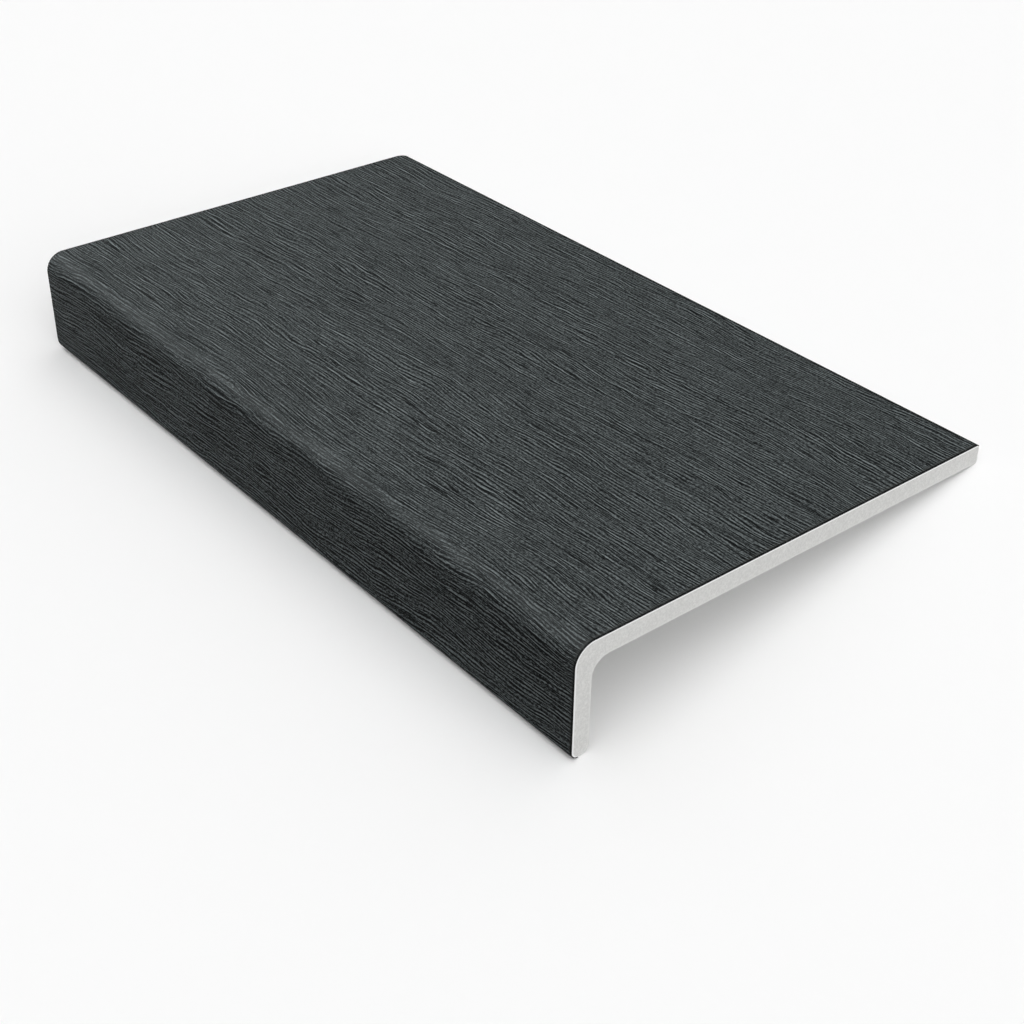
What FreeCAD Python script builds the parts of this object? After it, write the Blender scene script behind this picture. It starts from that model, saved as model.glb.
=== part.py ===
"""Short length of a bullnosed foamed-PVC fascia board with a woodgrain foil on its face.

The board is a pale foam core with a thin dark foil over its top face, round the nose and
down the lip to the toe. Units are millimetres, +X runs along the board towards its square
sawn end, +Z is up.

The section is drawn with the plate level: y runs from the lip's front face to the plate's
rear edge, and z runs down from 0 on the top face. The finished board is then tilted to lie
as it does on a level floor, on the back of its toe and on its rear lower edge.
"""
import FreeCAD, Part
import math
import os

# Board
BOARD_LENGTH = 410.0
BOARD_WIDTH = 225.0
LIP_DEPTH = 52.0

# Walls
PLATE_CORE_THICKNESS = 9.0
LIP_CORE_THICKNESS = 8.2
FOIL_THICKNESS = 0.4

# Rounds of the section
NOSE_RADIUS = 9.5
COVE_RADIUS = 7.8
TOE_FRONT_RADIUS = 3.5
TOE_FLAT = 0.6
REAR_TOP_RADIUS = 1.5
REAR_BOTTOM_RADIUS = 1.0

# The foil stops part of the way round the rear top arris, at this angle above the level
FOIL_END_ANGLE = 30.0

# Corners of the finished end
PLATE_CORNER_RADIUS = 6.0
LIP_CORNER_RADIUS = 5.5

# How far the cutters of those corners stand clear of the board
CUTTER_MARGIN = 5.0

# Worked out from the sizes above
plate_thickness = PLATE_CORE_THICKNESS + FOIL_THICKNESS
lip_thickness = LIP_CORE_THICKNESS + FOIL_THICKNESS
toe_back_radius = lip_thickness - TOE_FRONT_RADIUS - TOE_FLAT

# Centres of the section's rounds, as (y, z)
rear_top_centre = (BOARD_WIDTH - REAR_TOP_RADIUS, -REAR_TOP_RADIUS)
nose_centre = (NOSE_RADIUS, -NOSE_RADIUS)
toe_front_centre = (TOE_FRONT_RADIUS, -LIP_DEPTH + TOE_FRONT_RADIUS)
toe_back_centre = (lip_thickness - toe_back_radius, -LIP_DEPTH + toe_back_radius)
cove_centre = (lip_thickness + COVE_RADIUS, -plate_thickness - COVE_RADIUS)
rear_bottom_centre = (BOARD_WIDTH - REAR_BOTTOM_RADIUS, -plate_thickness + REAR_BOTTOM_RADIUS)


def on_circle(centre, radius, angle):
    """Point at an angle in degrees, counted from +Y towards +Z."""
    turn = math.radians(angle)
    return (centre[0] + radius * math.cos(turn), centre[1] + radius * math.sin(turn))


def section_vector(point):
    """Section point (y, z) as a 3-D vector on the board's finished end."""
    return FreeCAD.Vector(-BOARD_LENGTH / 2, point[0], point[1])


def line(start, end):
    return Part.LineSegment(section_vector(start), section_vector(end)).toShape()


def arc(centre, radius, start_angle, end_angle):
    angles = (start_angle, (start_angle + end_angle) / 2, end_angle)
    points = [section_vector(on_circle(centre, radius, angle)) for angle in angles]
    return Part.Arc(*points).toShape()


def face_path(depth):
    """Edges of the show face at a depth below it, from the rear arris to the toe."""
    rear = (BOARD_WIDTH - REAR_TOP_RADIUS, -depth)
    nose_top = (NOSE_RADIUS, -depth)
    nose_front = (depth, -NOSE_RADIUS)
    toe_front = (depth, -LIP_DEPTH + TOE_FRONT_RADIUS)
    return [
        arc(rear_top_centre, REAR_TOP_RADIUS - depth, FOIL_END_ANGLE, 90),
        line(rear, nose_top),
        arc(nose_centre, NOSE_RADIUS - depth, 90, 180),
        line(nose_front, toe_front),
        arc(toe_front_centre, TOE_FRONT_RADIUS - depth, 180, 270),
    ]


def face_path_ends(depth):
    """First and last point of that path."""
    first = on_circle(rear_top_centre, REAR_TOP_RADIUS - depth, FOIL_END_ANGLE)
    last = on_circle(toe_front_centre, TOE_FRONT_RADIUS - depth, 270)
    return first, last


def along_board(edges):
    """Closed section edges drawn out to the board's length."""
    section = Part.Face(Part.Wire(Part.sortEdges(edges)[0]))
    return section.extrude(FreeCAD.Vector(BOARD_LENGTH, 0, 0))


def foil_stock():
    outer_rear, outer_toe = face_path_ends(0)
    inner_rear, inner_toe = face_path_ends(FOIL_THICKNESS)
    ends = [line(outer_rear, inner_rear), line(outer_toe, inner_toe)]
    return along_board(face_path(0) + face_path(FOIL_THICKNESS) + ends)


def core_stock():
    """The core fills the section up to the foil, and is flush with it at both its ends."""
    outer_rear, outer_toe = face_path_ends(0)
    inner_rear, inner_toe = face_path_ends(FOIL_THICKNESS)
    toe_flat_end = (toe_back_centre[0], -LIP_DEPTH)
    lip_back_low = (lip_thickness, toe_back_centre[1])
    lip_back_high = (lip_thickness, cove_centre[1])
    underside_front = (cove_centre[0], -plate_thickness)
    underside_rear = (rear_bottom_centre[0], -plate_thickness)
    rear_low = (BOARD_WIDTH, rear_bottom_centre[1])
    rear_high = (BOARD_WIDTH, -REAR_TOP_RADIUS)
    back = [
        line(inner_toe, outer_toe),
        line(outer_toe, toe_flat_end),
        arc(toe_back_centre, toe_back_radius, 270, 360),
        line(lip_back_low, lip_back_high),
        arc(cove_centre, COVE_RADIUS, 180, 90),
        line(underside_front, underside_rear),
        arc(rear_bottom_centre, REAR_BOTTOM_RADIUS, 270, 360),
        line(rear_low, rear_high),
        arc(rear_top_centre, REAR_TOP_RADIUS, 0, FOIL_END_ANGLE),
        line(outer_rear, inner_rear),
    ]
    return along_board(face_path(FOIL_THICKNESS) + back)


def corner_cutter(corner, along, across, radius, through):
    """Solid that leaves a square corner rounded.

    The cutter's outline starts at the corner and spans the two directions along and across,
    which point into the board. It is drawn out by the vector through.
    """
    def place(a, b):
        return corner + along * a + across * b

    near = radius - radius * math.cos(math.radians(45))
    round_edge = Part.Arc(place(0, radius), place(near, near), place(radius, 0)).toShape()
    outside = Part.makePolygon([
        place(radius, 0),
        place(radius, -CUTTER_MARGIN),
        place(-CUTTER_MARGIN, -CUTTER_MARGIN),
        place(-CUTTER_MARGIN, radius),
        place(0, radius),
    ])
    outline = Part.Wire([round_edge] + outside.Edges)
    return Part.Face(outline).extrude(through)


def plate_corner_cutter():
    """Rounds the plate's rear corner at the finished end, seen from above."""
    corner = FreeCAD.Vector(-BOARD_LENGTH / 2, BOARD_WIDTH, CUTTER_MARGIN)
    through = FreeCAD.Vector(0, 0, -plate_thickness - 2 * CUTTER_MARGIN)
    inward = FreeCAD.Vector(1, 0, 0)
    forward = FreeCAD.Vector(0, -1, 0)
    return corner_cutter(corner, inward, forward, PLATE_CORNER_RADIUS, through)


def lip_corner_cutter():
    """Rounds the lip's lower corner at the finished end, seen from the front."""
    corner = FreeCAD.Vector(-BOARD_LENGTH / 2, -CUTTER_MARGIN, -LIP_DEPTH)
    through = FreeCAD.Vector(0, lip_thickness + 2 * CUTTER_MARGIN, 0)
    inward = FreeCAD.Vector(1, 0, 0)
    upward = FreeCAD.Vector(0, 0, 1)
    return corner_cutter(corner, inward, upward, LIP_CORNER_RADIUS, through)


def rest_angle():
    """Tilt, in degrees, at which one level line touches the toe's back and the rear edge."""
    run = rear_bottom_centre[0] - toe_back_centre[0]
    rise = rear_bottom_centre[1] - toe_back_centre[1]
    slope = math.atan2(rise, run)
    lean = math.asin((toe_back_radius - REAR_BOTTOM_RADIUS) / math.hypot(run, rise))
    return math.degrees(slope + lean)


def laid_down(board):
    """The board tilted to its rest, its box centred on the origin with its underside at 0."""
    board.rotate(FreeCAD.Vector(0, 0, 0), FreeCAD.Vector(1, 0, 0), -rest_angle())
    box = board.optimalBoundingBox(False, False)
    board.translate(FreeCAD.Vector(0, -box.Center.y, -box.ZMin))
    return board


cutters = [plate_corner_cutter(), lip_corner_cutter()]
core = core_stock().cut(cutters)
foil = foil_stock().cut(cutters)
board = laid_down(Part.makeCompound([core, foil]))

os.makedirs("parts", exist_ok=True)
foam_core, woodgrain_foil = board.Solids
foam_core.exportStep("parts/foam_core.step")
woodgrain_foil.exportStep("parts/woodgrain_foil.step")
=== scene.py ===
"""The looks of a short length of bullnosed fascia board: a pale foam core under a dark
woodgrain foil, on a white studio floor.

The section is worked out with the plate level, as y from the lip's front face to the rear
edge and z up from the top face. placed() then tilts it to lie on the floor. The foil's grain
is one formula, built once as geometry for the relief and once as a shader for the colour, so
that the two agree.
"""

import math

import bmesh
import bpy
import numpy as np
from mathutils import Matrix, Vector


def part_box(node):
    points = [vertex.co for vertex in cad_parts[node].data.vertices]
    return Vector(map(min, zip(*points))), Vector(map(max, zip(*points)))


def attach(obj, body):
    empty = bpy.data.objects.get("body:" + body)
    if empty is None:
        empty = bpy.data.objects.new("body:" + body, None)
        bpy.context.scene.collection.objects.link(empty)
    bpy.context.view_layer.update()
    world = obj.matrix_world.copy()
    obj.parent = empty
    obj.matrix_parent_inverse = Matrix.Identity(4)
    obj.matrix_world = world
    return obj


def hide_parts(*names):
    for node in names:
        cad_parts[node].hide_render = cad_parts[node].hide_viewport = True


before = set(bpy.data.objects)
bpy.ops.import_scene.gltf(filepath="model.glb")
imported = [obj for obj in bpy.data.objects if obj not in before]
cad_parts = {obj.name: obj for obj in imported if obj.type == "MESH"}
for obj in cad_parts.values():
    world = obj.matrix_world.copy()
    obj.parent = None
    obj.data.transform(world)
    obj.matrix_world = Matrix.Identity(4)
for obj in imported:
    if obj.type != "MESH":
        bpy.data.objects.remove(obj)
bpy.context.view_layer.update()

MM = 0.001

# The board's sizes, as the solids have them
BOARD_WIDTH = 225 * MM
LIP_DEPTH = 52 * MM
FOIL_THICKNESS = 0.4 * MM
PLATE_THICKNESS = 9 * MM + FOIL_THICKNESS
LIP_THICKNESS = 8.2 * MM + FOIL_THICKNESS
NOSE_RADIUS = 9.5 * MM
COVE_RADIUS = 7.8 * MM
TOE_FRONT_RADIUS = 3.5 * MM
TOE_FLAT = 0.6 * MM
TOE_BACK_RADIUS = LIP_THICKNESS - TOE_FRONT_RADIUS - TOE_FLAT
REAR_TOP_RADIUS = 1.5 * MM
REAR_BOTTOM_RADIUS = 1 * MM
PLATE_CORNER_RADIUS = 6 * MM
LIP_CORNER_RADIUS = 5.5 * MM
# Degrees round the rear top arris, up from its rearmost point, at which the foil starts
FOIL_END_ANGLE = 30.0

# x of the finished end and of the sawn end
END_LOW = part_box("foam_core")[0][0]
END_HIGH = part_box("foam_core")[1][0]

# Centres of the section's rounds
REAR_TOP_CENTRE = (BOARD_WIDTH - REAR_TOP_RADIUS, -REAR_TOP_RADIUS)
NOSE_CENTRE = (NOSE_RADIUS, -NOSE_RADIUS)
TOE_FRONT_CENTRE = (TOE_FRONT_RADIUS, -LIP_DEPTH + TOE_FRONT_RADIUS)
TOE_BACK_CENTRE = (LIP_THICKNESS - TOE_BACK_RADIUS, -LIP_DEPTH + TOE_BACK_RADIUS)
COVE_CENTRE = (LIP_THICKNESS + COVE_RADIUS, -PLATE_THICKNESS - COVE_RADIUS)
REAR_BOTTOM_CENTRE = (BOARD_WIDTH - REAR_BOTTOM_RADIUS, -PLATE_THICKNESS + REAR_BOTTOM_RADIUS)

# Grids of the two meshes
FOIL_ROW_STEP = 0.36 * MM
FOIL_COLUMNS = 118
CORE_RUNG_STEP = 0.9 * MM
CORE_LAYERS = 8
CORE_COLUMNS = 24
# Rungs of the core at its rear edge: where it shows beside the foil, and under the foil
REAR_RUNGS_OPEN = 5
REAR_RUNGS_COVERED = 7
# Rungs of the core round its toe, down to the level of the foil's end, and the turns of the
# last two in degrees
TOE_RUNGS = 10
TOE_LAST_TURNS = (80, 90)
# Length of board over which the columns bend to the rounded corners of the finished end
END_BLEND = 30 * MM

# Relief of the long pores, and the run over which it fades in from the foil's long edges
GROOVE_DEPTH = 0.1 * MM
RELIEF_FADE = 1.2 * MM

# Camera, in the board's level frame: x from the board's middle, y and z as in the section,
# roll in degrees and lens in mm
CAMERA_PLACE = Vector((549.75, -313.93, 365.65)) * MM
CAMERA_AIM = Vector((123.7, 37.57, 0)) * MM
CAMERA_ROLL = 0.766
CAMERA_LENS = 59.31


# The section

def on_circle(centre, radius, angle):
    turn = math.radians(angle)
    return (centre[0] + radius * math.cos(turn), centre[1] + radius * math.sin(turn))


def rest_angle():
    """Tilt in radians at which one level line touches the toe's back and the rear edge."""
    run = REAR_BOTTOM_CENTRE[0] - TOE_BACK_CENTRE[0]
    rise = REAR_BOTTOM_CENTRE[1] - TOE_BACK_CENTRE[1]
    lean = math.asin((TOE_BACK_RADIUS - REAR_BOTTOM_RADIUS) / math.hypot(run, rise))
    return math.atan2(rise, run) + lean


def rest_matrix():
    """Takes the level board to where it lies in the row frame."""
    tilt = Matrix.Rotation(-rest_angle(), 4, "X")
    toe = tilt @ Vector((0, *TOE_BACK_CENTRE))
    front = tilt @ Vector((0, *TOE_FRONT_CENTRE))
    foil_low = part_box("woodgrain_foil")[0]
    shift_y = foil_low[1] - (front.y - TOE_FRONT_RADIUS)
    shift_z = TOE_BACK_RADIUS - toe.z
    return Matrix.Translation((0, shift_y, shift_z)) @ tilt


REST = rest_matrix()


def placed(points):
    """Level-board points, one to a row, in the row frame."""
    matrix = np.array(REST)
    return points @ matrix[:3, :3].T + matrix[:3, 3]


def turned(directions):
    """Level-board directions, one to a row, in the row frame."""
    return directions @ np.array(REST)[:3, :3].T


def stations(length, step):
    """Even fractions from 0 to 1 along a stretch, at most a step apart."""
    return np.linspace(0, 1, max(2, math.ceil(length / step) + 1))


def arc_run(centre, radius, start, end, step):
    """Points, outward normals and lengths along an arc of the show face."""
    length = radius * math.radians(abs(end - start))
    angles = np.radians(start + (end - start) * stations(length, step))
    normals = np.stack([np.cos(angles), np.sin(angles)], 1)
    return np.array(centre) + radius * normals, normals, stations(length, step) * length


def line_run(start, end, normal, step):
    """The same along a straight stretch."""
    start, end = np.array(start), np.array(end)
    length = np.linalg.norm(end - start)
    share = stations(length, step)[:, None]
    points = start + (end - start) * share
    return points, np.repeat([normal], len(points), 0).astype(float), share[:, 0] * length


def show_face(step):
    """The foil's outer line from the rear arris to the toe: points, normals and run length."""
    runs = [
        arc_run(REAR_TOP_CENTRE, REAR_TOP_RADIUS, FOIL_END_ANGLE, 90, step),
        line_run((BOARD_WIDTH - REAR_TOP_RADIUS, 0), (NOSE_RADIUS, 0), (0, 1), step),
        arc_run(NOSE_CENTRE, NOSE_RADIUS, 90, 180, step),
        line_run((0, -NOSE_RADIUS), (0, -LIP_DEPTH + TOE_FRONT_RADIUS), (-1, 0), step),
        arc_run(TOE_FRONT_CENTRE, TOE_FRONT_RADIUS, 180, 270, step),
    ]
    points, normals, lengths = [], [], []
    reached = 0.0
    for number, (run_points, run_normals, run_lengths) in enumerate(runs):
        first = 0 if number == 0 else 1
        points.append(run_points[first:])
        normals.append(run_normals[first:])
        lengths.append(run_lengths[first:] + reached)
        reached += run_lengths[-1]
    return np.concatenate(points), np.concatenate(normals), np.concatenate(lengths)


def rounding(distance, radius):
    """How far a rounded corner pulls the end back at a distance from the board's edge."""
    inside = np.clip(radius - distance, 0, radius)
    return radius - np.sqrt(radius ** 2 - inside ** 2)


def finished_end(points):
    """x of the finished end, with its rounded corners, at section points (y, z)."""
    plate = rounding(BOARD_WIDTH - points[..., 0], PLATE_CORNER_RADIUS)
    lip = rounding(points[..., 1] + LIP_DEPTH, LIP_CORNER_RADIUS)
    return END_LOW + plate + lip


def column_places(points, columns):
    """x of each column for each section point, squeezed near the finished end."""
    even = np.linspace(END_LOW, END_HIGH, columns + 1)
    near_end = np.clip(1 - (even - END_LOW) / END_BLEND, 0, 1)
    pulled = finished_end(points) - END_LOW
    return even + pulled[:, None] * near_end ** 2


# Meshes

def new_mesh_object(name, vertices, faces, regions):
    """A smooth-shaded piece from row-frame vertices, with the region of each face kept on it."""
    mesh = bpy.data.meshes.new(name)
    mesh.from_pydata(vertices.tolist(), [], faces)
    mesh.polygons.foreach_set("use_smooth", [True] * len(faces))
    mesh.attributes.new("region", "INT", "FACE").data.foreach_set("value", regions)
    piece = bpy.data.objects.new(name, mesh)
    bpy.context.scene.collection.objects.link(piece)
    return piece


def keep_borders_sharp(mesh):
    """Makes the edges between faces of different regions sharp."""
    work = bmesh.new()
    work.from_mesh(mesh)
    region = work.faces.layers.int["region"]
    for edge in work.edges:
        kinds = {face[region] for face in edge.link_faces}
        edge.smooth = len(kinds) == 1
    work.to_mesh(mesh)
    work.free()


def set_vector_attribute(mesh, name, values):
    attribute = mesh.attributes.new(name, "FLOAT_VECTOR", "POINT")
    attribute.data.foreach_set("vector", np.asarray(values, np.float32).ravel())


def grid_faces(index):
    """Quads over a grid of vertex numbers."""
    a, b = index[:-1, :-1], index[:-1, 1:]
    c, d = index[1:, 1:], index[1:, :-1]
    return np.stack([a, b, c, d], -1).reshape(-1, 4).tolist()


# Regions of faces: the foil's show face, its edges, the backs of both pieces, the core's ends
SHOW, EDGE, BACK, SAWN = range(4)


def build_foil():
    """The foil as a thin closed sheet: a fine grid outside and long strips inside."""
    line, normals, run = show_face(FOIL_ROW_STEP)
    rows = len(line)
    x = column_places(line, FOIL_COLUMNS)
    y = np.repeat(line[:, :1], FOIL_COLUMNS + 1, 1)
    z = np.repeat(line[:, 1:], FOIL_COLUMNS + 1, 1)
    outer = np.stack([x, y, z], -1).reshape(-1, 3)
    below = line - normals * FOIL_THICKNESS
    inner = np.concatenate([
        np.stack([finished_end(below), below[:, 0], below[:, 1]], 1),
        np.stack([np.full(rows, END_HIGH), below[:, 0], below[:, 1]], 1),
    ])
    vertices = placed(np.concatenate([outer, inner]))

    top = np.arange(rows * (FOIL_COLUMNS + 1)).reshape(rows, FOIL_COLUMNS + 1)
    far = len(outer) + np.arange(rows)
    near = far + rows
    faces = grid_faces(top)
    regions = [SHOW] * len(faces)
    # The back, the finished and the sawn end, and the two long edges
    others = [grid_faces(np.stack([near, far], 1))]
    others.append(grid_faces(np.stack([far, top[:, 0]], 1)))
    others.append(grid_faces(np.stack([top[:, -1], near], 1)))
    others.append([[*top[0, ::-1].tolist(), int(far[0]), int(near[0])]])
    others.append([[*top[-1].tolist(), int(near[-1]), int(far[-1])]])
    for kind, part in zip((BACK, EDGE, EDGE, EDGE, EDGE), others):
        faces += part
        regions += [kind] * len(part)

    piece = new_mesh_object("foil_sheet", vertices, faces, regions)
    mesh = piece.data
    along = np.concatenate([x.ravel(), inner[:, 0]])
    across = np.concatenate([np.repeat(run, FOIL_COLUMNS + 1), run, run])
    from_end = np.concatenate([(x - x[:, :1]).ravel(), np.zeros(2 * rows)])
    set_vector_attribute(mesh, "unrolled", np.stack([along, across, from_end], 1))
    fade = np.clip(np.minimum(run, run[-1] - run) / RELIEF_FADE, 0, 1)
    outward = np.stack([0 * run, normals[:, 0], normals[:, 1]], 1) * fade[:, None]
    outward = np.concatenate([np.repeat(outward, FOIL_COLUMNS + 1, 0), np.zeros((2 * rows, 3))])
    set_vector_attribute(mesh, "outward", turned(outward))
    return piece


def rear_bottom_line(y):
    """z of the plate's underside at y, with the round of its rear edge."""
    over = np.clip(y - REAR_BOTTOM_CENTRE[0], 0, REAR_BOTTOM_RADIUS)
    return REAR_BOTTOM_CENTRE[1] - np.sqrt(REAR_BOTTOM_RADIUS ** 2 - over ** 2)


def core_rungs():
    """Pairs of points across the core's wall, from the rear edge round to the toe."""
    # Round the rear edge
    under = REAR_TOP_RADIUS - FOIL_THICKNESS
    open_turns = np.linspace(0, FOIL_END_ANGLE, REAR_RUNGS_OPEN)
    covered_turns = np.linspace(FOIL_END_ANGLE, 90, REAR_RUNGS_COVERED)
    front = [on_circle(REAR_TOP_CENTRE, REAR_TOP_RADIUS, turn) for turn in open_turns]
    front += [on_circle(REAR_TOP_CENTRE, under, turn) for turn in covered_turns]
    back = [(y, rear_bottom_line(y)) for y, z in front]

    # Along the plate
    plate_run = REAR_TOP_CENTRE[0] - COVE_CENTRE[0]
    for share in stations(plate_run, CORE_RUNG_STEP)[1:]:
        y = REAR_TOP_CENTRE[0] - plate_run * share
        front.append((y, -FOIL_THICKNESS))
        back.append((y, -PLATE_THICKNESS))

    # Round the bend, between the nose and the cove
    lead = COVE_CENTRE[0] - NOSE_RADIUS
    drop = -COVE_CENTRE[1] - NOSE_RADIUS
    radius = NOSE_RADIUS - FOIL_THICKNESS
    bend = radius * math.pi / 2
    whole = lead + bend + drop
    for share in stations(whole, CORE_RUNG_STEP)[1:]:
        reach = share * whole
        if reach < lead:
            front.append((COVE_CENTRE[0] - reach, -FOIL_THICKNESS))
        elif reach < lead + bend:
            front.append(on_circle(NOSE_CENTRE, radius, 90 + 90 * (reach - lead) / bend))
        else:
            front.append((FOIL_THICKNESS, -NOSE_RADIUS - (reach - lead - bend)))
        back.append(on_circle(COVE_CENTRE, COVE_RADIUS, 90 + 90 * share))

    # Down the lip
    lip_run = COVE_CENTRE[1] - TOE_BACK_CENTRE[1]
    for share in stations(lip_run, CORE_RUNG_STEP)[1:]:
        z = COVE_CENTRE[1] - lip_run * share
        front.append((FOIL_THICKNESS, z))
        back.append((LIP_THICKNESS, z))

    # Round the toe
    toe_radius = TOE_FRONT_RADIUS - FOIL_THICKNESS
    foil_end = -LIP_DEPTH + FOIL_THICKNESS
    turn_there = math.degrees(math.asin((TOE_BACK_CENTRE[1] - foil_end) / TOE_BACK_RADIUS))
    for turn in [*np.linspace(0, turn_there, TOE_RUNGS)[1:], *TOE_LAST_TURNS]:
        y, z = on_circle(TOE_BACK_CENTRE, TOE_BACK_RADIUS, -turn)
        below = min(max(TOE_FRONT_CENTRE[1] - z, 0), toe_radius)
        front.append((TOE_FRONT_RADIUS - math.sqrt(toe_radius ** 2 - below ** 2), z))
        back.append((y, z))
    return np.array(front), np.array(back)


def core_depths(front, back, section, share):
    """How deep each section point lies below the core's nearest face, and below its foil side."""
    wall = np.linalg.norm(back - front, axis=1)
    below_foil = share[None, :] * wall[:, None]
    to_face = np.minimum(share, 1 - share)[None, :] * wall[:, None]
    steps = np.linalg.norm(np.diff(section.mean(1), axis=0), axis=1)
    walked = np.concatenate([[0], np.cumsum(steps)])
    to_end = np.minimum(walked, walked[-1] - walked)
    return np.minimum(to_face, to_end[:, None]).ravel(), below_foil.ravel()


def build_core():
    """The core's outer faces, over rungs, layers across the wall and slices along the board."""
    front, back = core_rungs()
    share = np.linspace(0, 1, CORE_LAYERS + 1)
    section = front[:, None, :] + (back - front)[:, None, :] * share[None, :, None]
    flat = section.reshape(-1, 2)
    x = column_places(flat, CORE_COLUMNS)
    slices = CORE_COLUMNS + 1
    points = np.concatenate([np.column_stack([x[:, k], flat]) for k in range(slices)])
    number = np.arange(len(points)).reshape(slices, len(front), CORE_LAYERS + 1)

    sides = [
        (BACK, number[:, :, 0].T),
        (BACK, number[:, ::-1, -1].T),
        (BACK, number[:, 0, ::-1].T),
        (BACK, number[:, -1, :].T),
        (SAWN, number[0].T),
        (SAWN, number[-1, ::-1].T),
    ]
    faces, regions = [], []
    for kind, index in sides:
        part = grid_faces(index)
        faces += part
        regions += [kind] * len(part)

    used = np.unique(faces)
    renumber = np.zeros(len(points), int)
    renumber[used] = np.arange(len(used))
    faces = renumber[np.array(faces)].tolist()
    points = points[used]
    piece = new_mesh_object("core_body", placed(points), faces, regions)
    set_vector_attribute(piece.data, "board", points)
    depths = core_depths(front, back, section, share)
    depths = [np.tile(depth, slices)[used] for depth in depths]
    set_vector_attribute(piece.data, "depth", np.stack([*depths, np.zeros(len(used))], 1))
    keep_borders_sharp(piece.data)
    return piece


# Nodes

class Graph:
    """Adds nodes to a tree. The same calls build a shader or a geometry tree."""

    def __init__(self, tree):
        self.tree = tree

    def put(self, socket, value):
        if isinstance(value, bpy.types.NodeSocket):
            self.tree.links.new(value, socket)
        elif value is not None:
            socket.default_value = value

    def node(self, kind, inputs, **settings):
        node = self.tree.nodes.new(kind)
        for name, value in settings.items():
            setattr(node, name, value)
        for name, value in inputs.items():
            self.put(node.inputs[name], value)
        return node

    def math(self, operation, *values):
        inputs = dict(enumerate(values))
        return self.node("ShaderNodeMath", inputs, operation=operation).outputs[0]

    def vector_math(self, operation, *values):
        inputs = dict(enumerate(values))
        return self.node("ShaderNodeVectorMath", inputs, operation=operation).outputs[0]

    def parts(self, vector):
        """The three parts of a vector."""
        return self.node("ShaderNodeSeparateXYZ", {"Vector": vector}).outputs

    def attribute(self, name):
        return self.node("ShaderNodeAttribute", {}, attribute_name=name).outputs["Vector"]

    def noise(self, vector, scale, detail=2.0, rough=0.5, dimensions="2D"):
        """Noise from about 0 to 1."""
        inputs = {"Vector": vector, "Scale": scale, "Detail": detail, "Roughness": rough}
        return self.node("ShaderNodeTexNoise", inputs, noise_dimensions=dimensions).outputs[0]

    def smooth_range(self, value, low, high, to_low=0.0, to_high=1.0):
        inputs = {"Value": value, "From Min": low, "From Max": high}
        inputs.update({"To Min": to_low, "To Max": to_high})
        node = self.node("ShaderNodeMapRange", inputs, interpolation_type="SMOOTHSTEP")
        return node.outputs["Result"]

    def mix_colour(self, factor, first, second):
        """A colour mix. Its sockets 0, 6 and 7 are the factor and the two colours."""
        node = self.node("ShaderNodeMix", {}, data_type="RGBA")
        for socket, value in ((0, factor), (6, first), (7, second)):
            self.put(node.inputs[socket], value)
        return node.outputs[2]

    def bump(self, height, strength, distance, normal=None):
        inputs = {"Height": height, "Strength": strength, "Distance": distance, "Normal": normal}
        return self.node("ShaderNodeBump", inputs).outputs[0]


# How far the grain runs off the board's line, across for each step along
GRAIN_SLOPE = 0.035
# Bends of the grain: size along and across in mm with the pattern's shift, and reach in mm
DRIFT = (110, 45, 3.1)
DRIFT_REACH = 11.0
WANDER = (20, 7, 8.3)
WANDER_REACH = 2.2
# Pores: cell and half size, each along and across in mm, the pattern's shift, and the chance
# that a cell has one
LONG_PORES = (
    ((34, 2.6), (16, 0.26), 0.0, 0.9),
    ((23, 2.0), (10, 0.21), 5.7, 0.8),
)
SHORT_PORES = (
    ((12, 1.5), (5, 0.2), 9.4, 0.7),
    ((7, 1.1), (3, 0.17), 13.8, 0.6),
)
# Greatest slant of a pore, across for each step along
STROKE_SLANT = 0.05
# How many of a pore's half widths away lies the middle of the lighter line on one side of it
# That line is partly lighter print and partly a painted highlight, as if a raised crest caught the
# light
PRINT_AND_HIGHLIGHT_PLACE = 1.9


def stretched(graph, along, across, length, width, shift):
    """A coordinate in which a streak of that length and width, in mm, is one unit each way."""
    a = graph.math("MULTIPLY_ADD", along, 1 / length, shift)
    b = graph.math("MULTIPLY_ADD", across, 1 / width, shift * 1.7)
    return graph.node("ShaderNodeCombineXYZ", {"X": a, "Y": b}).outputs[0]


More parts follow.
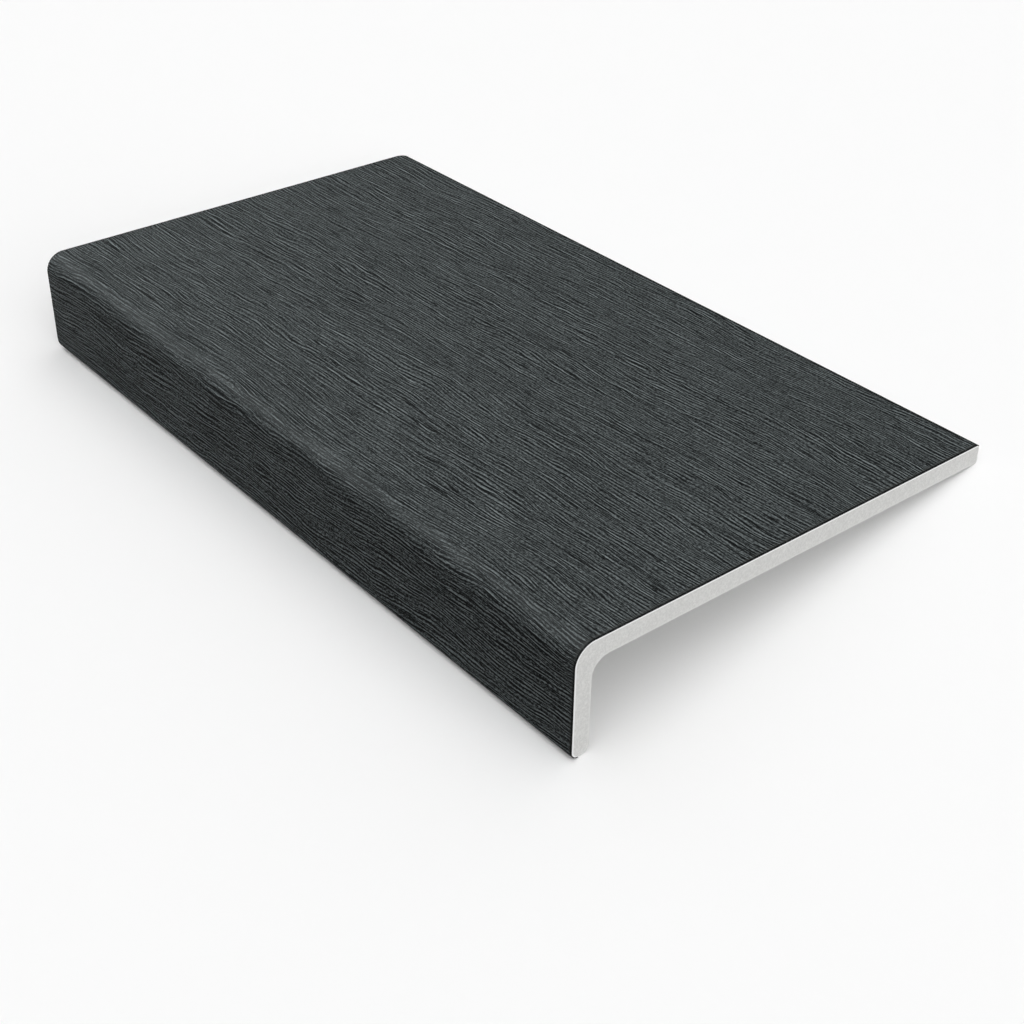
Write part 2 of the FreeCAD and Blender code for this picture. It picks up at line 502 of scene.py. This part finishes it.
def strokes(graph, along, across, cell, half_size, shift, chance):
    """Pores of the grain: one thin tapered stroke to a cell, each of its own length and slant.

    Sizes are (along, across) in mm. Returns the groove and the lighter line beside it, 0 to 1.
    """
    place = stretched(graph, along, across, *cell, shift)
    inputs = {"Vector": place, "Scale": 1.0, "Randomness": 1.0}
    node = graph.node("ShaderNodeTexVoronoi", inputs, voronoi_dimensions="2D", feature="F1")
    pick = graph.parts(node.outputs["Color"])
    away = graph.parts(graph.vector_math("SUBTRACT", place, node.outputs["Position"]))
    lengthwise = graph.math("MULTIPLY", away[0], cell[0])
    slant = graph.math("MULTIPLY_ADD", pick[0], 2 * STROKE_SLANT, -STROKE_SLANT)
    crosswise = graph.math("MULTIPLY", away[1], cell[1])
    crosswise = graph.math("SUBTRACT", crosswise, graph.math("MULTIPLY", lengthwise, slant))

    # Half lengths of 0.5 to 1.5 times the given one. The taper is 1 in the middle, 0 at the tips
    reach = graph.math("MULTIPLY_ADD", pick[1], half_size[0], half_size[0] * 0.5)
    share = graph.math("DIVIDE", lengthwise, reach)
    taper = graph.math("SUBTRACT", 1.0, graph.math("MULTIPLY", share, share))
    taper = graph.math("MAXIMUM", taper, 0.0)
    # Half widths of 0.65 to 1.35 times the given one, and a quarter of that at the tips
    thick = graph.math("MULTIPLY_ADD", pick[0], half_size[1] * 0.7, half_size[1] * 0.65)
    least = graph.math("MULTIPLY", thick, 0.25)
    thick = graph.math("MULTIPLY_ADD", graph.math("MULTIPLY", thick, taper), 0.75, least)

    # Whether the cell has a stroke at all, and its fading towards the tips
    there = graph.smooth_range(pick[2], 1 - chance, 1 - chance + 0.3)
    there = graph.math("MULTIPLY", there, graph.smooth_range(taper, 0.0, 0.45))
    # Flanks of the groove and of the lighter line beside it, in half widths from the middle of each
    signed = graph.math("DIVIDE", crosswise, thick)
    groove = graph.smooth_range(graph.math("ABSOLUTE", signed), 1.15, 0.25)
    # The lighter line: partly print, partly a painted highlight of a crest that the relief does not
    # raise
    beside = graph.math("ABSOLUTE", graph.math("ADD", signed, PRINT_AND_HIGHLIGHT_PLACE))
    print_and_highlight = graph.smooth_range(beside, 1.2, 0.2)
    return graph.math("MULTIPLY", groove, there), graph.math("MULTIPLY", print_and_highlight, there)


def highest(graph, values):
    """The greatest of several values."""
    top = values[0]
    for value in values[1:]:
        top = graph.math("MAXIMUM", top, value)
    return top


def in_mm(graph, unrolled):
    """Places along and across the unrolled face, in mm."""
    place = graph.parts(unrolled)
    return [graph.math("MULTIPLY", value, 1 / MM) for value in (place[0], place[1])]


def grain_flow(graph, unrolled):
    """The unrolled face in mm, with the slow drift and quicker wander that bend the streaks."""
    along, across = in_mm(graph, unrolled)
    drift = graph.noise(stretched(graph, along, across, *DRIFT), 1.0, 1.0)
    wander = graph.noise(stretched(graph, along, across, *WANDER), 1.0, 1.5)
    across = graph.math("MULTIPLY_ADD", along, GRAIN_SLOPE, across)
    across = graph.math("MULTIPLY_ADD", drift, DRIFT_REACH, across)
    across = graph.math("MULTIPLY_ADD", wander, WANDER_REACH, across)
    return along, across


def pores(graph, along, across, kinds):
    """Several kinds of pores together: their grooves, and the lighter lines beside them, partly
    painted highlight.
    """
    drawn = [strokes(graph, along, across, *kind) for kind in kinds]
    grooves = highest(graph, [groove for groove, print_and_highlight in drawn])
    return grooves, highest(graph, [print_and_highlight for groove, print_and_highlight in drawn])


def relief_modifier(piece):
    """Sinks the grooves of the long pores into the sheet, and lifts nothing above its face."""
    tree = bpy.data.node_groups.new("grain_relief", "GeometryNodeTree")
    tree.interface.new_socket("Geometry", in_out="INPUT", socket_type="NodeSocketGeometry")
    tree.interface.new_socket("Geometry", in_out="OUTPUT", socket_type="NodeSocketGeometry")
    graph = Graph(tree)
    source = tree.nodes.new("NodeGroupInput")
    result = tree.nodes.new("NodeGroupOutput")
    unrolled, outward = [
        graph.node("GeometryNodeInputNamedAttribute", {"Name": name}, data_type="FLOAT_VECTOR")
        for name in ("unrolled", "outward")
    ]
    along, across = grain_flow(graph, unrolled.outputs[0])
    groove = pores(graph, along, across, LONG_PORES)[0]
    inputs = {0: outward.outputs[0], "Scale": graph.math("MULTIPLY", groove, -GROOVE_DEPTH)}
    sunk = graph.node("ShaderNodeVectorMath", inputs, operation="SCALE")
    inputs = {"Geometry": source.outputs[0], "Offset": sunk.outputs[0]}
    move = graph.node("GeometryNodeSetPosition", inputs)
    tree.links.new(move.outputs[0], result.inputs[0])
    modifier = piece.modifiers.new("grain", "NODES")
    modifier.node_group = tree


def apply_modifiers(piece):
    depsgraph = bpy.context.evaluated_depsgraph_get()
    mesh = bpy.data.meshes.new_from_object(piece.evaluated_get(depsgraph))
    old = piece.data
    piece.modifiers.clear()
    piece.data = mesh
    mesh.name = old.name
    bpy.data.meshes.remove(old)


# Materials

def srgb(red, green, blue):
    """Linear colour of a shade given in 0 to 255 display steps."""
    def one(value):
        value /= 255
        return value / 12.92 if value <= 0.04045 else ((value + 0.055) / 1.055) ** 2.4
    return (one(red), one(green), one(blue), 1.0)


# The foil's colours
FOIL_PORE = srgb(7, 9, 10)
# The lightest grain colour, which also paints the highlight beside each pore
FOIL_LIGHT_AND_HIGHLIGHT = srgb(124, 132, 133)
# Nearly black: the foil's cut edge, and painted shade along the rear edge and the finished end
FOIL_CUT_AND_EDGE_SHADE = srgb(8, 9, 9)
FOIL_RUBBED = srgb(58, 59, 57)
FOIL_EDGE_LOW = srgb(5, 6, 6)
FOIL_EDGE_HIGH = srgb(14, 15, 15)
FOIL_EDGE_SCALE = 2500.0
# The foil's gloss: the tones between which its roughness turns, from that in the pores
FOIL_GLOSS_TONES = (0.05, 0.32)
FOIL_ROUGHNESS = (0.56, 0.42)
FOIL_SPECULAR = 0.018
FOIL_EDGE_ROUGHNESS = 0.6
FOIL_EDGE_SPECULAR = 0.02

# Distances from its edge at which a border starts and is whole
RUBBED_BORDER = (2.4 * MM, 0.7 * MM)
CUT_BORDER = (0.95 * MM, 0.5 * MM)
# The rear and finished borders are painted shade along those edges
REAR_BORDER = (2.6 * MM, 1.9 * MM)
FINISHED_BORDER = (0.9 * MM, 0.5 * MM)
# Greatest share of the rubbed colour
RUBBED_SHARE = 0.65

# The grain's patterns: size along and across in mm, and the pattern's shift
PATCHES = (45, 10, 6.6)
WIDE_LINES = (28, 2.6, 1.9)
CLOSE_LINES = (13, 1.6, 5.2)
SPECKS = (1.4, 0.5, 4.2)
CLOUDS = (60, 22, 7.7)
# Share of the short pores in patches with few and with many
CROWD = (0.2, 0.6)
# Shares of the wide lines, close lines and specks, at the finished end and at the sawn end
WIDE_SHARE = (0.43, 0.17)
CLOSE_SHARE = (0.72, 0.9)
SPECK_SHARE = (0.85, 1.05)
# Shares of the clouds, the lighter lines beside the pores and the pores all over
CLOUD_SHARE = 0.1
# Share of the lighter lines: partly print, partly painted highlight
PRINT_AND_HIGHLIGHT_SHARE = 0.38
PORE_SHARE = -0.8
# Share by which the lightest line is weakened and the darkest strengthened
LINE_SKEW = 0.65
MEAN_TONE = 0.245
# Contrast on the board's lip, against 1 on the plate, and the run from the middle of the nose
# over which it is reached
LIP_CONTRAST = 1.75
LIP_CONTRAST_RUN = 12 * MM
# Height of the grain in the bump
GRAIN_HEIGHT = 0.3 * MM

# Run over the face from the foil's rear end to the middle of the nose. The last stretch is an
# eighth of a turn, so it is a quarter of pi times the radius
REAR_ARC_RUN = math.radians(90 - FOIL_END_ANGLE) * REAR_TOP_RADIUS
PLATE_RUN = BOARD_WIDTH - REAR_TOP_RADIUS - NOSE_RADIUS
HALF_NOSE_RUN = 0.785 * NOSE_RADIUS
NOSE_RUN = REAR_ARC_RUN + PLATE_RUN + HALF_NOSE_RUN
# Slow waves of the sheet round the nose: height, size along and across in mm with the
# pattern's shift, and the runs from the middle of the nose at which they start and are whole
NOSE_WAVE = 1.4 * MM
NOSE_WAVE_SIZE = (34, 8, 2.4)
NOSE_WAVE_REACH = (26 * MM, 9 * MM)

# The sawn foam's colours and gloss
FOAM_LOW = srgb(228, 228, 226)
FOAM_HIGH = srgb(235, 235, 233)
FOAM_SPECK = srgb(216, 216, 214)
FOAM_CELL_RIM = srgb(238, 238, 235)
FOAM_SKIN = srgb(232, 232, 230)
FOAM_BOND = srgb(253, 253, 252)
FOAM_ROUGHNESS = 0.75
FOAM_SPECULAR = 0.25
# Depths over which the skin turns to foam, and the white line by the foil to the rest
SKIN_DEPTH = (0.15 * MM, 1.1 * MM)
BOND_DEPTH = (0.6 * MM, 0.9 * MM)
# Cells, mottle and specks to the metre
CELL_SCALE = 2100.0
MOTTLE_SCALE = 260.0
SPECK_SCALE = 1100.0
PIT_DEPTH = 0.12 * MM
PIT_STRENGTH = 0.35

# The drawn back's colours and gloss, with draw lines along the board
BACK_LOW = srgb(219, 219, 216)
BACK_HIGH = srgb(227, 227, 224)
BACK_LINE = srgb(205, 205, 201)
BACK_ROUGHNESS = (0.42, 0.55)
BACK_SPECULAR = 0.35
BACK_MOTTLE_SCALE = 45.0
DRAW_LINE_SCALE = (6.0, 700.0, 700.0)
DRAW_LINE_DEPTH = 0.1 * MM
DRAW_LINE_STRENGTH = 0.15


def new_material(name):
    """A material with the graph of its nodes and its own shader node."""
    material = bpy.data.materials.new(name)
    material.use_nodes = True
    shader = material.node_tree.nodes["Principled BSDF"]
    return material, Graph(material.node_tree), shader


def fine_lines(graph, along, across, length, spacing, shift):
    """Parallel lines at about a spacing in mm that fade in and out, the dark ones the sharper."""
    place = stretched(graph, along, across, length, spacing * 2, shift)
    inputs = {"Vector": place, "Scale": 1.0, "Frequency": 2.0, "Anisotropy": 1.0}
    inputs["Orientation"] = math.pi / 2
    node = graph.node("ShaderNodeTexGabor", inputs, gabor_type="2D")
    level = graph.math("MULTIPLY_ADD", node.outputs["Value"], 2.0, -1.0)
    return graph.math("MULTIPLY", level, graph.math("MULTIPLY_ADD", level, -LINE_SKEW, 1.0))


def grain_tone(graph, unrolled):
    """How light the foil is, from 0 in a pore to 1 on the lighter line beside one, which is partly
    painted highlight.
    """
    along, across = grain_flow(graph, unrolled)
    deep, deep_print_and_highlight = pores(graph, along, across, LONG_PORES)
    shallow, shallow_print_and_highlight = pores(graph, along, across, SHORT_PORES)
    patch = graph.noise(stretched(graph, along, across, *PATCHES), 1.0, 2.0)
    crowd = graph.smooth_range(patch, 0.36, 0.6, *CROWD)
    pore = graph.math("MAXIMUM", deep, graph.math("MULTIPLY", shallow, crowd))
    # Lighter lines beside the pores: partly print, partly painted highlight
    print_and_highlight = graph.math("ADD", deep_print_and_highlight, graph.math("MULTIPLY", shallow_print_and_highlight, crowd))

    wide = fine_lines(graph, along, across, *WIDE_LINES)
    close = fine_lines(graph, along, across, *CLOSE_LINES)
    speck = graph.noise(stretched(graph, along, across, *SPECKS), 1.0, 1.0, 0.6)
    cloud = graph.noise(stretched(graph, along, across, *CLOUDS), 1.0, 2.0)
    ends = (END_LOW / MM, END_HIGH / MM)
    wide_share, close_share, speck_share = [
        graph.smooth_range(along, *ends, *share) for share in (WIDE_SHARE, CLOSE_SHARE, SPECK_SHARE)
    ]
    tone = graph.math("MULTIPLY", wide, wide_share)
    tone = graph.math("MULTIPLY_ADD", close, close_share, tone)
    tone = graph.math("MULTIPLY_ADD", graph.math("SUBTRACT", speck, 0.5), speck_share, tone)
    tone = graph.math("MULTIPLY_ADD", graph.math("SUBTRACT", cloud, 0.5), CLOUD_SHARE, tone)
    tone = graph.math("MULTIPLY_ADD", print_and_highlight, PRINT_AND_HIGHLIGHT_SHARE, tone)
    tone = graph.math("MULTIPLY_ADD", pore, PORE_SHARE, tone)
    run = graph.parts(unrolled)[1]
    turn = (NOSE_RUN, NOSE_RUN + LIP_CONTRAST_RUN)
    contrast = graph.smooth_range(run, *turn, 1.0, LIP_CONTRAST)
    tone = graph.math("MULTIPLY_ADD", tone, contrast, MEAN_TONE)
    return graph.smooth_range(tone, -0.1, 1.1)


def with_borders(graph, unrolled, shade):
    """The foil's colour, rubbed by the saw beside the cut and nearly black at three borders: its
    cut edge, and painted shade along the rear edge and the finished end.
    """
    place = graph.parts(unrolled)
    rubbed_places = [END_HIGH - distance for distance in RUBBED_BORDER]
    rubbed = graph.smooth_range(place[0], *rubbed_places, 0.0, RUBBED_SHARE)
    shade = graph.mix_colour(rubbed, shade, FOIL_RUBBED)
    cut = graph.smooth_range(place[0], *[END_HIGH - distance for distance in CUT_BORDER])
    # Painted shade along the rounded rear edge and the finished end
    rear = graph.smooth_range(place[1], *REAR_BORDER)
    finished = graph.smooth_range(place[2], *FINISHED_BORDER)
    return graph.mix_colour(highest(graph, [cut, rear, finished]), shade, FOIL_CUT_AND_EDGE_SHADE)


def nose_wave(graph, unrolled):
    """Height of the slow waves where the sheet is bent round the nose."""
    along, across = in_mm(graph, unrolled)
    wave = graph.noise(stretched(graph, along, across, *NOSE_WAVE_SIZE), 1.0, 1.0)
    from_nose = graph.math("SUBTRACT", graph.parts(unrolled)[1], NOSE_RUN)
    near = graph.smooth_range(graph.math("ABSOLUTE", from_nose), *NOSE_WAVE_REACH)
    return graph.math("MULTIPLY", wave, near)


def foil_material():
    """Satin anthracite foil with dark matt pores, lighter lines beside them that are partly painted
    highlight, and fine specks.
    """
    material, graph, shader = new_material("woodgrain_foil")
    unrolled = graph.attribute("unrolled")
    tone = grain_tone(graph, unrolled)
    shade = graph.mix_colour(tone, FOIL_PORE, FOIL_LIGHT_AND_HIGHLIGHT)
    graph.put(shader.inputs["Base Color"], with_borders(graph, unrolled, shade))
    rough = graph.smooth_range(tone, *FOIL_GLOSS_TONES, *FOIL_ROUGHNESS)
    graph.put(shader.inputs["Roughness"], rough)
    shader.inputs["Specular IOR Level"].default_value = FOIL_SPECULAR
    waved = graph.bump(nose_wave(graph, unrolled), 1.0, NOSE_WAVE)
    graph.put(shader.inputs["Normal"], graph.bump(tone, 1.0, GRAIN_HEIGHT, waved))
    return material


def foil_edge_material():
    """Cut edge of the foil, nearly black."""
    material, graph, shader = new_material("foil_edge")
    mottle = graph.noise(graph.attribute("unrolled"), FOIL_EDGE_SCALE, 2.0, dimensions="3D")
    shade = graph.mix_colour(mottle, FOIL_EDGE_LOW, FOIL_EDGE_HIGH)
    graph.put(shader.inputs["Base Color"], shade)
    shader.inputs["Roughness"].default_value = FOIL_EDGE_ROUGHNESS
    shader.inputs["Specular IOR Level"].default_value = FOIL_EDGE_SPECULAR
    return material


def sawn_foam_material():
    """Sawn end of the core: specked cells inside, an even skin, and a white line by the foil."""
    material, graph, shader = new_material("sawn_foam")
    board = graph.attribute("board")
    depth = graph.parts(graph.attribute("depth"))
    inside = graph.smooth_range(depth[0], *SKIN_DEPTH)
    past_bond = graph.smooth_range(depth[1], *BOND_DEPTH)

    cells = graph.node("ShaderNodeTexVoronoi", {"Vector": board, "Scale": CELL_SCALE}, feature="F1")
    cell_rim = graph.smooth_range(cells.outputs["Distance"], 0.15, 0.6)
    mottle = graph.noise(board, MOTTLE_SCALE, 3.0, 0.6, "3D")
    speck = graph.noise(board, SPECK_SCALE, 3.0, 0.7, "3D")
    foam = graph.mix_colour(graph.smooth_range(mottle, 0.3, 0.7), FOAM_LOW, FOAM_HIGH)
    foam = graph.mix_colour(graph.smooth_range(speck, 0.66, 0.36), foam, FOAM_SPECK)
    foam = graph.mix_colour(graph.math("MULTIPLY", cell_rim, 0.12), foam, FOAM_CELL_RIM)
    shade = graph.mix_colour(inside, FOAM_SKIN, foam)
    shade = graph.mix_colour(past_bond, FOAM_BOND, shade)
    graph.put(shader.inputs["Base Color"], shade)
    shader.inputs["Roughness"].default_value = FOAM_ROUGHNESS
    shader.inputs["Specular IOR Level"].default_value = FOAM_SPECULAR

    pits = graph.math("MULTIPLY", cells.outputs["Distance"], inside)
    graph.put(shader.inputs["Normal"], graph.bump(pits, PIT_STRENGTH, PIT_DEPTH))
    return material


def board_back_material():
    """Smooth drawn back of the core, with faint draw lines along the board."""
    material, graph, shader = new_material("board_back")
    board = graph.attribute("board")
    drawn = graph.vector_math("MULTIPLY", board, DRAW_LINE_SCALE)
    lines = graph.noise(drawn, 1.0, 3.0, 0.6, "3D")
    mottle = graph.noise(board, BACK_MOTTLE_SCALE, 3.0, 0.5, "3D")
    shade = graph.mix_colour(graph.smooth_range(mottle, 0.3, 0.7), BACK_LOW, BACK_HIGH)
    line_share = graph.math("MULTIPLY", graph.smooth_range(lines, 0.55, 0.8), 0.25)
    shade = graph.mix_colour(line_share, shade, BACK_LINE)
    graph.put(shader.inputs["Base Color"], shade)
    graph.put(shader.inputs["Roughness"], graph.smooth_range(lines, 0.2, 0.8, *BACK_ROUGHNESS))
    shader.inputs["Specular IOR Level"].default_value = BACK_SPECULAR
    bump = graph.bump(lines, DRAW_LINE_STRENGTH, DRAW_LINE_DEPTH)
    graph.put(shader.inputs["Normal"], bump)
    return material


def dress(piece, by_region):
    """Gives each region of a piece's faces its material."""
    mesh = piece.data
    region = np.zeros(len(mesh.polygons), np.int32)
    mesh.attributes["region"].data.foreach_get("value", region)
    slots = []
    index = np.zeros(len(region), np.int32)
    for kind, material in by_region.items():
        if material not in slots:
            slots.append(material)
            mesh.materials.append(material)
        index[region == kind] = slots.index(material)
    mesh.polygons.foreach_set("material_index", index)


# Studio

# The floor: half its width in m, its shade as seen, what it bounces round and under the
# board, and the width of the border between the two
FLOOR_REACH = 30.0
FLOOR_SHADE = 0.93
FLOOR_BOUNCE = 0.15
UNDER_BOUNCE = 0.9
UNDER_FADE = 20 * MM

# Light: the world's strength, then each lamp's strength, the way to it and its width in degrees
AMBIENT = 0.28
OVERHEAD = (1.55, (0.27, 0.07, 0.96), 80)
SIDE = (1.38, (0.9, 0.0, 0.42), 50)
FILL = (0.7, (-0.55, 0.6, 0.4), 90)
RIM = (32.0, (-0.57, -0.16, 0.8), 40)
RIM_TINT = (0.92, 1.0, 1.0)


def background_rays(graph):
    """1 for rays that show the background as it is seen: camera, glossy and transmitted."""
    path = graph.node("ShaderNodeLightPath", {})
    seen = graph.math("MAXIMUM", path.outputs["Is Camera Ray"], path.outputs["Is Glossy Ray"])
    return graph.math("MAXIMUM", seen, path.outputs["Is Transmission Ray"])


def make_world():
    """Even white light from all round."""
    world = bpy.data.worlds.new("studio")
    bpy.context.scene.world = world
    world.use_nodes = True
    background = world.node_tree.nodes["Background"]
    background.inputs["Color"].default_value = (1, 1, 1, 1)
    background.inputs["Strength"].default_value = AMBIENT


def under_board(graph):
    """1 on the floor under the board and 0 round it."""
    place = graph.parts(graph.node("ShaderNodeNewGeometry", {}).outputs["Position"])
    x, y = [graph.math("ABSOLUTE", value) for value in (place[0], place[1])]
    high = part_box("foam_core")[1]
    along = graph.smooth_range(x, high[0] + UNDER_FADE / 2, high[0] - UNDER_FADE / 2)
    across = graph.smooth_range(y, high[1], high[1] - UNDER_FADE)
    return graph.math("MULTIPLY", along, across)


def make_floor():
    """A white floor that bounces less light than it shows, and more of it under the board."""
    mesh = bpy.data.meshes.new("floor")
    ways = ((-1, -1), (1, -1), (1, 1), (-1, 1))
    corners = [(FLOOR_REACH * x, FLOOR_REACH * y, 0) for x, y in ways]
    mesh.from_pydata(corners, [], [(0, 1, 2, 3)])
    floor = bpy.data.objects.new("floor", mesh)
    bpy.context.scene.collection.objects.link(floor)
    material, graph, shader = new_material("floor")
    tree = material.node_tree
    white = (FLOOR_SHADE, FLOOR_SHADE, FLOOR_SHADE, 1)
    seen = graph.node("ShaderNodeBsdfDiffuse", {"Color": white})
    more = UNDER_BOUNCE - FLOOR_BOUNCE
    bounce = graph.math("MULTIPLY_ADD", under_board(graph), more, FLOOR_BOUNCE)
    lit = graph.node("ShaderNodeBsdfDiffuse", {"Color": bounce})
    inputs = {0: background_rays(graph), 1: lit.outputs[0], 2: seen.outputs[0]}
    mix = graph.node("ShaderNodeMixShader", inputs)
    tree.links.new(mix.outputs[0], tree.nodes["Material Output"].inputs["Surface"])
    tree.nodes.remove(shader)
    mesh.materials.append(material)


def make_sun(name, strength, toward, width):
    data = bpy.data.lights.new(name, "SUN")
    data.energy = strength
    data.angle = math.radians(width)
    lamp = bpy.data.objects.new(name, data)
    bpy.context.scene.collection.objects.link(lamp)
    lamp.rotation_mode = "QUATERNION"
    lamp.rotation_quaternion = Vector(toward).to_track_quat("Z", "Y")
    return lamp


def make_camera():
    data = bpy.data.cameras.new("camera")
    data.lens = CAMERA_LENS
    data.clip_start = 0.01
    camera = bpy.data.objects.new("camera", data)
    bpy.context.scene.collection.objects.link(camera)
    back = (CAMERA_PLACE - CAMERA_AIM).normalized()
    turn = back.to_track_quat("Z", "Y").to_matrix().to_4x4()
    roll = Matrix.Rotation(math.radians(CAMERA_ROLL), 4, "Z")
    camera.matrix_world = REST @ Matrix.Translation(CAMERA_PLACE) @ turn @ roll
    bpy.context.scene.camera = camera


foil = build_foil()
relief_modifier(foil)
apply_modifiers(foil)
keep_borders_sharp(foil.data)
foil_face = foil_material()
foil_edge = foil_edge_material()
dress(foil, {SHOW: foil_face, EDGE: foil_edge, BACK: foil_edge})
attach(foil, "root")
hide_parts("woodgrain_foil")

core = build_core()
dress(core, {BACK: board_back_material(), SAWN: sawn_foam_material()})
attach(core, "root")
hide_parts("foam_core")

make_world()
make_floor()
make_sun("overhead", *OVERHEAD)
make_sun("side", *SIDE)
make_sun("fill", *FILL).visible_glossy = False
rim = make_sun("rim", *RIM)
rim.visible_diffuse = False
rim.data.color = RIM_TINT
make_camera()
bpy.context.scene.view_settings.view_transform = "Standard"
